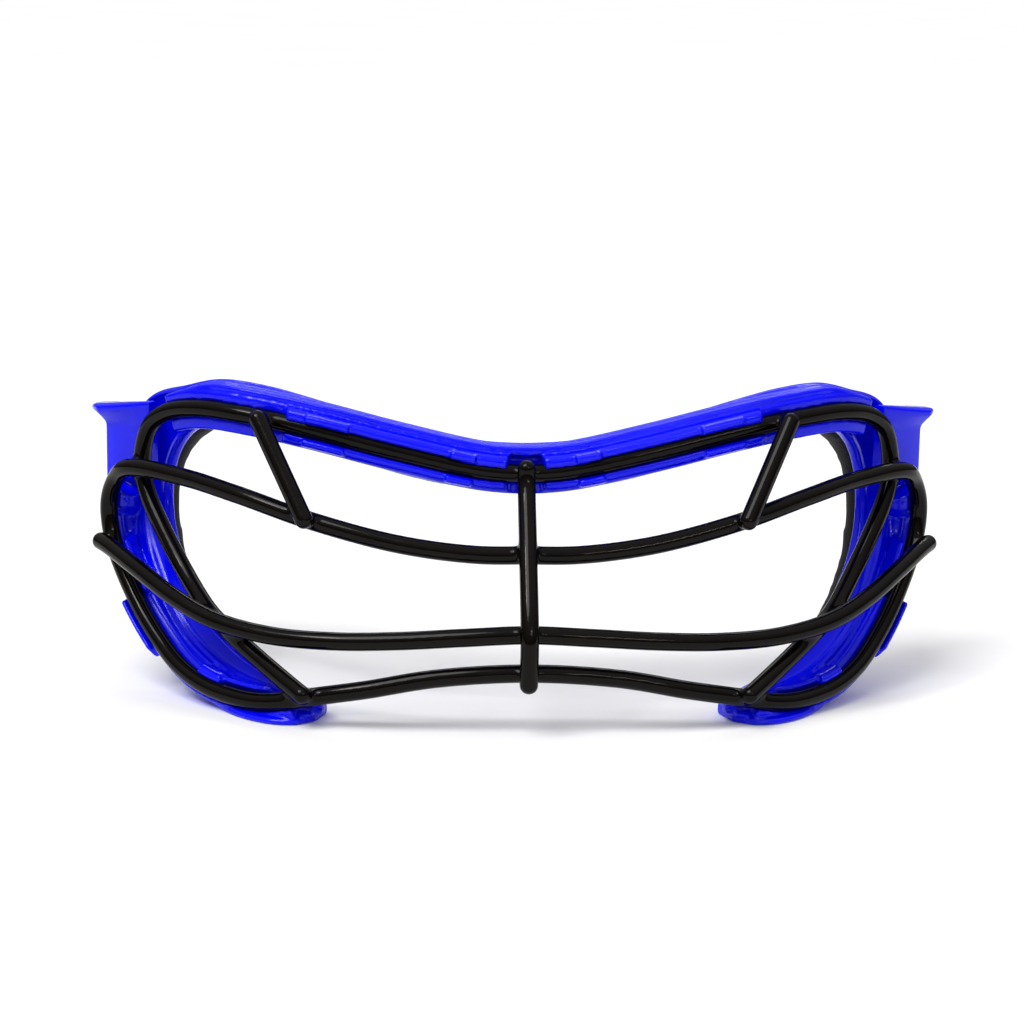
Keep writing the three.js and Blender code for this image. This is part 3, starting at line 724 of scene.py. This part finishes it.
def moulding(curve, outline, start, end, count):
    """Outlines of a moulding along a curve, as (forward, up) pairs that depend on X."""
    shares = np.linspace(start, end, count)
    places = curve(shares)
    low, high = np.clip(shares - TANGENT_STEP, 0, 1), np.clip(shares + TANGENT_STEP, 0, 1)
    tangent = curve(high) - curve(low)
    tangent /= np.linalg.norm(tangent, axis=1)[:, None]
    up = np.array((0, 0, 1.0)) - tangent * tangent[:, 2:3]
    up /= np.linalg.norm(up, axis=1)[:, None]
    forward = np.cross(tangent, up)
    return [
        [p + f * a + u * b for a, b in outline(p[0])] for p, f, u in zip(places, forward, up)
    ]


def cheek_frames(count):
    """Places along the visor loop's cheek run, with directions towards the eye and the face."""
    curve = spline(VISOR[7:17])
    pts, tangents = even(curve, 0.05)
    pick = np.linspace(0, len(pts) - 1, count).astype(int)
    pts, tangents = pts[pick], tangents[pick]
    eye = shell_inner(0.77 + 0.2 * np.linspace(0, 1, count)) - pts
    across = eye - tangents * (eye * tangents).sum(1)[:, None]
    across /= np.linalg.norm(across, axis=1)[:, None]
    return pts, across, np.cross(tangents, across)


CHEEK_COUNT = 201
cheek_place, cheek_across, cheek_back = cheek_frames(CHEEK_COUNT)
CHEEK_REAR = 4.6  # depth from which an outline's points stay where they are
LIP_ROOT = 3.0  # depth that a fading lip sinks to
POCKET_START, POCKET_END, POCKET_EASE, POCKET_DEPTH = 0.09, 0.27, 0.03, 2.3


def cheek_depth(depth, dip, fade):
    """An outline point's depth once it has dipped and faded, unless it is at the rear."""
    if depth >= CHEEK_REAR:
        return depth
    return min(depth + dip, CHEEK_REAR) * fade + LIP_ROOT * (1 - fade)


def cheek(outline, start, end, side, taper=0.0):
    """A moulding along the cheek whose height can fade away at both ends. One that doesn't
    fade has a pocket behind the temple's arch."""
    first, last = int(start * (CHEEK_COUNT - 1)), int(end * (CHEEK_COUNT - 1))
    rings = []
    for n in range(first, last + 1):
        share = (n - first) / (last - first)
        run = n / (CHEEK_COUNT - 1)
        if taper:
            fade, dip = smooth(min(share, 1 - share) / taper), 0
        else:
            pocket = smooth((run - POCKET_START) / POCKET_EASE)
            pocket *= smooth((POCKET_END - run) / POCKET_EASE)
            fade, dip = 1.0, POCKET_DEPTH * pocket
        rings.append([
            cheek_place[n] + cheek_across[n] * a + cheek_back[n] * cheek_depth(b, dip, fade)
            for a, b in outline
        ])
    return loft(rings, side)


# outlines across the cheek, as (towards the eye, depth) pairs
CHEEK_BASE = [
    (-GROOVE - 0.3, 1.5), (-GROOVE + 0.1, 0.9), *arc(GROOVE, 154, 26, 11),
    (GROOVE + 0.1, 0.9), (GROOVE + 1.3, 0.95), (GROOVE + 2.6, 2.0), (GROOVE + 3.4, 3.2),
    (GROOVE + 2, 5.4), (-GROOVE + 0.2, 5.4),
]
OUTER_LIP = [(-3.15, 0.1), (-2.75, -0.35), (-2.2, -0.2), (-2.1, 0.9), (-1.2, 3.0), (-3.1, 3.0)]
INNER_LIP = [(2.1, 0.4), (2.15, -0.8), (2.6, -1.0), (3.1, -0.6), (4.4, 2.6), (1.2, 3.0)]
CLIP = [(1.0, 0.2), (1.1, -1.5), (2.1, -2.0), (3.4, -1.2), (4.6, 2.4), (1.2, 3.0)]


FOOT_OUTER_X, FOOT_INNER_X = 61.5, 40.4
FOOT_OUTLINE = [  # (ahead, height) pairs; the first four follow the front lip
    (-0.4, 0), (0, 0.35), (-0.1, 0.9), (-0.7, 1.35), (-0.6, 1.55), (-2, 2.9), (-4.4, 3.9),
    (-7, 4.6), (-9.4, 3.2), (-10, 0),
]
FOOT_LIP_POINTS = 4
FOOT_LIP, FOOT_LIP_PEAK = 2.2, 0.65  # how far the lip stands out, and where along the foot
FOOT_TIP_START, FOOT_TIP_FALL = 0.88, 1.6  # the lip draws back further at the inner end


def foot(side):
    """The flat sole under the lowest bar, with a lip that stands out furthest in front."""
    curve = spline(VISOR[9:18][::-1])
    rings = []
    for share in np.linspace(0, 1, 40):
        t = share_at_x(curve, FOOT_OUTER_X + (FOOT_INNER_X - FOOT_OUTER_X) * share)
        origin = curve(t)[0]
        ahead = curve(min(1, t + 1e-3))[0] - curve(max(0, t - 1e-3))[0]
        out = unit(np.array((ahead[1], -ahead[0], 0)))
        if out[1] > 0:
            out = -out
        bend = 11 if share < FOOT_LIP_PEAK else 30
        lip = FOOT_LIP - bend * (share - FOOT_LIP_PEAK) ** 2
        lip -= FOOT_TIP_FALL * smooth((share - FOOT_TIP_START) / (1 - FOOT_TIP_START))
        rings.append([
            (origin[0] + f * out[0], origin[1] + f * out[1], z)
            for f, z in [
                (f + lip, z) if n < FOOT_LIP_POINTS else (f, z)
                for n, (f, z) in enumerate(FOOT_OUTLINE)
            ]
        ])
    return loft(rings, side)


BRACKET_TOP, BRACKET_HEIGHT, BRACKET_WALL = 54.6, 15.5, 2.6
BRACKET_FALL = 2.8  # how much lower its top is at the back
FLANGE = 3.0  # how far the top flange stands out
LIFT_START, LIFT = 0.84, 1.1  # where its lower edge rises, and by how much
TAB_X, TAB_START, TAB_END = 81, 57.6, 66.0
SLOT_FRONT, SLOT_BACK, SLOT_BOTTOM, SLOT_TOP = 58.0, 63.6, 39.0, 48.0
SLOT_LAP = 0.6  # how far the bodies above and below the slot run into those at its ends


def bracket(side):
    """The flare and, round the strap slot, the tab, as a row of bodies that overlap."""
    flare = spline([(72, 49.5, 0), (75.6, 52.6, 0), (79.2, 55.8, 0), (TAB_X, TAB_START, 0)])
    pts, tangents = even(flare, 0.4)
    tab = np.linspace((TAB_X, TAB_START, 0), (TAB_X, TAB_END, 0), 43)[1:]
    pts = np.vstack([pts, tab])
    tangents = np.vstack([tangents, np.repeat([[0, 1.0, 0]], len(tab), 0)])
    run = np.concatenate([[0], np.cumsum(np.linalg.norm(np.diff(pts, axis=0), axis=1))])
    shares = run / run[-1]

    def part(picked, low=None, high=None):
        rings = []
        for n in picked:
            place, share = pts[n], shares[n]
            out = unit(np.array((tangents[n][1], -tangents[n][0], 0)))
            top = BRACKET_TOP - BRACKET_FALL * share
            reach = FLANGE * min(1, 1.4 * share)
            lift = LIFT * smooth((share - LIFT_START) / (1 - LIFT_START))
            bottom = top - BRACKET_HEIGHT + lift
            if high is not None:
                ring = [(0, bottom), (0, high), (-BRACKET_WALL, high), (-BRACKET_WALL, bottom)]
            else:
                base = bottom if low is None else low
                ring = [
                    (0, base), (0, top - 4.4), (0.25, top - 3.6), (reach * 0.55, top - 2.4),
                    (reach, top - 1.35), (reach, top - 0.3), (reach * 0.5, top - 0.05),
                    (0, top), (-BRACKET_WALL, top), (-BRACKET_WALL, base),
                ]
                if low is not None:
                    ring[1] = (0, max(top - 4.4, low + 0.1))
                    ring[2] = (0.1, max(top - 3.6, low + 0.2))
            rings.append([place + out * f + np.array((0, 0, z)) for f, z in ring])
        return loft(rings, side)

    every = np.arange(len(pts))
    before = every[pts[:, 1] <= SLOT_FRONT + 0.01]
    beside = every[
        (pts[:, 1] >= SLOT_FRONT - SLOT_LAP) & (pts[:, 1] <= SLOT_BACK + SLOT_LAP)
    ]
    behind = every[pts[:, 1] >= SLOT_BACK - 0.01]
    return [
        part(before), part(behind), part(beside, low=SLOT_TOP), part(beside, high=SLOT_BOTTOM),
    ]


RAIL_END_X = 68
BROW_MM_PER_SHARE = 480  # length that a whole share of the brow curve stands for at the clips
UPPER_CLIP = (1.35, 3.1, 2.7)  # heights of two edges about the wire, and how far forward
LOWER_CLIP = (-3.4, -1.8, 1.85)
CLIPS = ((37.5, 8.32), (12.0, 4.8))  # place in X and width


def rail_block(x, width, low, high, forward):
    """A raised clip on a lip of the brow rail, between two heights about the wire."""
    centre = share_at_x(brow_curve, x, 0.2, 0.8)
    half = width / 2 / BROW_MM_PER_SHARE
    outline = [(forward, low), (forward, high), (-3, high), (-3, low)]
    return loft(moulding(brow_curve, lambda _: outline, centre - half, centre + half, 8))


def build_frame():
    rail_ends = [
        share_at_x(brow_curve, -RAIL_END_X, 0.28, 0.5),
        share_at_x(brow_curve, RAIL_END_X, 0.5, 0.72),
    ]
    parts = [
        loft(band(shell_outline, 0, 1, 300)),
        loft(moulding(brow_curve, brow_rail, *rail_ends, 400)),
    ]
    for s in (1, -1):
        parts += [
            *bracket(s), cheek(CHEEK_BASE, 0.05, 0.94, s), cheek(OUTER_LIP, 0.31, 0.49, s, 0.12),
            cheek(INNER_LIP, 0.16, 0.36, s, 0.15), cheek(INNER_LIP, 0.62, 0.90, s, 0.15),
            cheek(CLIP, 0.63, 0.735, s, 0.14), foot(s),
        ]
        for x, width in CLIPS:
            parts += [rail_block(s * x, width, *UPPER_CLIP), rail_block(s * x, width, *LOWER_CLIP)]
    whole = fused(scratch("whole", *joined(parts)), FRAME_CELL * MM)
    mesh = whole.data
    relax(mesh, 3, SMOOTH)
    co = relax(mesh, 40)
    low, high = (np.array(corner[:]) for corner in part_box("face_frame"))
    co = np.clip(co, low, high)
    faces = [tuple(p.vertices) for p in mesh.polygons]
    bpy.data.objects.remove(whole)
    return piece_of("moulded_frame", co, faces, plastic, "frame_plastic", "face_frame")


build_frame()


# ------------------------------------------------------------------ pads

PAD_CELL = 0.0011
PRESSURE, STEPS = 4, 20
PUFF_LIMIT = 0.0005  # a guard: at this pressure the pads move by about a fifth of it at most


def puffed(pad):
    """The pad's vertices after a short cloth simulation with air pressure inside."""
    start = vertices_of(pad.data)
    cloth = pad.modifiers.new("puff", "CLOTH")
    cloth.settings.use_pressure = True
    cloth.settings.uniform_pressure_force = PRESSURE
    cloth.settings.effector_weights.gravity = 0
    cloth.point_cache.frame_start = 1
    cloth.point_cache.frame_end = STEPS
    scene = bpy.context.scene
    for step in range(1, STEPS + 1):
        scene.frame_set(step)
    bake(pad)
    scene.frame_set(1)
    move = vertices_of(pad.data) - start
    length = np.linalg.norm(move, axis=1)[:, None]
    return start + move * np.minimum(1, PUFF_LIMIT / np.maximum(length, 1e-9))


def soft_pad(node):
    """A foam pad in its CAD solid's place: melted to an even skin, smoothed, moved a little by the
    simulation and subdivided."""
    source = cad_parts[node].data
    faces = [tuple(p.vertices) for p in source.polygons]
    pad = scratch(node + "_work", [v.co[:] for v in source.vertices], faces, weld=1e-6)
    fused(pad, PAD_CELL)
    place = relax(pad.data, 6, SMOOTH)
    place = puffed(pad)
    low, high = (np.array(corner[:]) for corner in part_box(node))
    quads = [tuple(p.vertices) for p in pad.data.polygons]
    bpy.data.objects.remove(pad)
    piece = piece_of(
        node + "_foam", np.clip(place, low, high), quads, foam, "pad_foam", node
    )
    finer = piece.modifiers.new("finer", "SUBSURF")
    finer.levels = finer.render_levels = 1
    bake(piece)


for pad_node in ("brow_pad", "side_pad_left", "side_pad_right"):
    soft_pad(pad_node)


# ------------------------------------------------------------------ floor, light and camera

FLOOR_HALF = 12  # in metres
SKY_LOW, SKY_HIGH, SKY_HIGH_AT = 0.05, 0.78, 0.8
SUN_POWER, SUN_ANGLE, SUN_COURSE = 1.75, 32, (0.34, 0.40, -0.85)
TARGET = (-2.64, -13.0, 39.2)  # in millimetres, like the other sizes
AZIMUTH, ELEVATION, ROLL = -3.07, 12.0, 0.84
CAMERA_DISTANCE = 0.5592
SENSOR, LENS = 36, 105.1171875


def floor():
    corners = [(x * FLOOR_HALF, y * FLOOR_HALF, 0) for x, y in ((-1, -1), (1, -1), (1, 1), (-1, 1))]
    mesh = mesh_of("floor", corners, [(0, 1, 2, 3)])
    obj = linked("floor", mesh)
    material, nodes, links, shader = new_material("pale_floor")
    coords = nodes.new("ShaderNodeTexCoord").outputs["Object"]
    tone = noise_of(nodes, links, coords, 9)
    base = ramp_of(nodes, links, tone, [(0.3, (0.925,) * 3), (0.7, (0.94,) * 3)])
    links.new(base, shader.inputs["Base Color"])
    shader.inputs["Roughness"].default_value = 0.9
    shader.inputs["Specular IOR Level"].default_value = 0.1
    mesh.materials.append(material)


def aim(obj, direction):
    """Turns a light, which shines along its own -Z, to shine in a direction."""
    obj.rotation_mode = "QUATERNION"
    obj.rotation_quaternion = Vector(direction).to_track_quat("-Z", "Y")


def lamp(name, place, target, size, power, colour=(1, 1, 1)):
    data = bpy.data.lights.new(name, "AREA")
    data.shape = "RECTANGLE"
    data.size, data.size_y = size
    data.energy = power
    data.color = colour
    obj = linked(name, data)
    obj.location = place
    aim(obj, Vector(target) - Vector(place))


def sky():
    """A white world that is bright overhead and dim at the horizon and below."""
    world = bpy.data.worlds.new("studio")
    bpy.context.scene.world = world
    world.use_nodes = True
    nodes, links = world.node_tree.nodes, world.node_tree.links
    background = nodes["Background"]
    coords = nodes.new("ShaderNodeTexCoord").outputs["Generated"]
    split = nodes.new("ShaderNodeSeparateXYZ")
    links.new(coords, split.inputs["Vector"])
    height = split.outputs["Z"]
    strength = range_of(nodes, links, height, SKY_LOW, SKY_HIGH, 0.0, SKY_HIGH_AT)
    links.new(strength, background.inputs["Strength"])
    background.inputs["Color"].default_value = (1, 1, 1, 1)


def studio():
    """The sky, a wide soft sun that casts the floor shadow, and three small soft boxes."""
    sky()
    data = bpy.data.lights.new("sun", "SUN")
    data.energy = SUN_POWER
    data.angle = math.radians(SUN_ANGLE)
    aim(linked("sun", data), SUN_COURSE)
    lamp("key", (-0.42, -0.30, 0.60), (0, 0, 0.02), (0.12, 0.06), 0.62, (1, 0.96, 0.90))
    lamp("rim", (0.10, 0.55, 0.50), (0, 0, 0.03), (0.50, 0.06), 0.55)
    lamp("front", (0.30, -0.75, 0.44), (0, 0, 0.03), (0.34, 0.03), 0.80, (1, 0.92, 0.82))


def camera():
    """The photo's view, from which the depths were fitted, with its slight roll."""
    azimuth, elevation, roll = map(math.radians, (AZIMUTH, ELEVATION, ROLL))
    back = Vector((
        math.sin(azimuth) * math.cos(elevation), -math.cos(azimuth) * math.cos(elevation),
        math.sin(elevation),
    ))
    right = (-back).cross(Vector((0, 0, 1))).normalized()
    up = back.cross(right)
    turned = right * math.cos(roll) + up * math.sin(roll)
    upright = up * math.cos(roll) - right * math.sin(roll)
    place = Vector(TARGET) * MM + back * CAMERA_DISTANCE
    data = bpy.data.cameras.new("camera")
    data.sensor_width = SENSOR
    data.lens = LENS
    data.clip_start, data.clip_end = 0.01, 50
    obj = linked("camera", data)
    rotation = Matrix((turned, upright, back)).transposed().to_4x4()
    obj.matrix_world = Matrix.Translation(place) @ rotation
    bpy.context.scene.camera = obj


floor()
studio()
camera()
bpy.context.scene.view_settings.view_transform = "Standard"
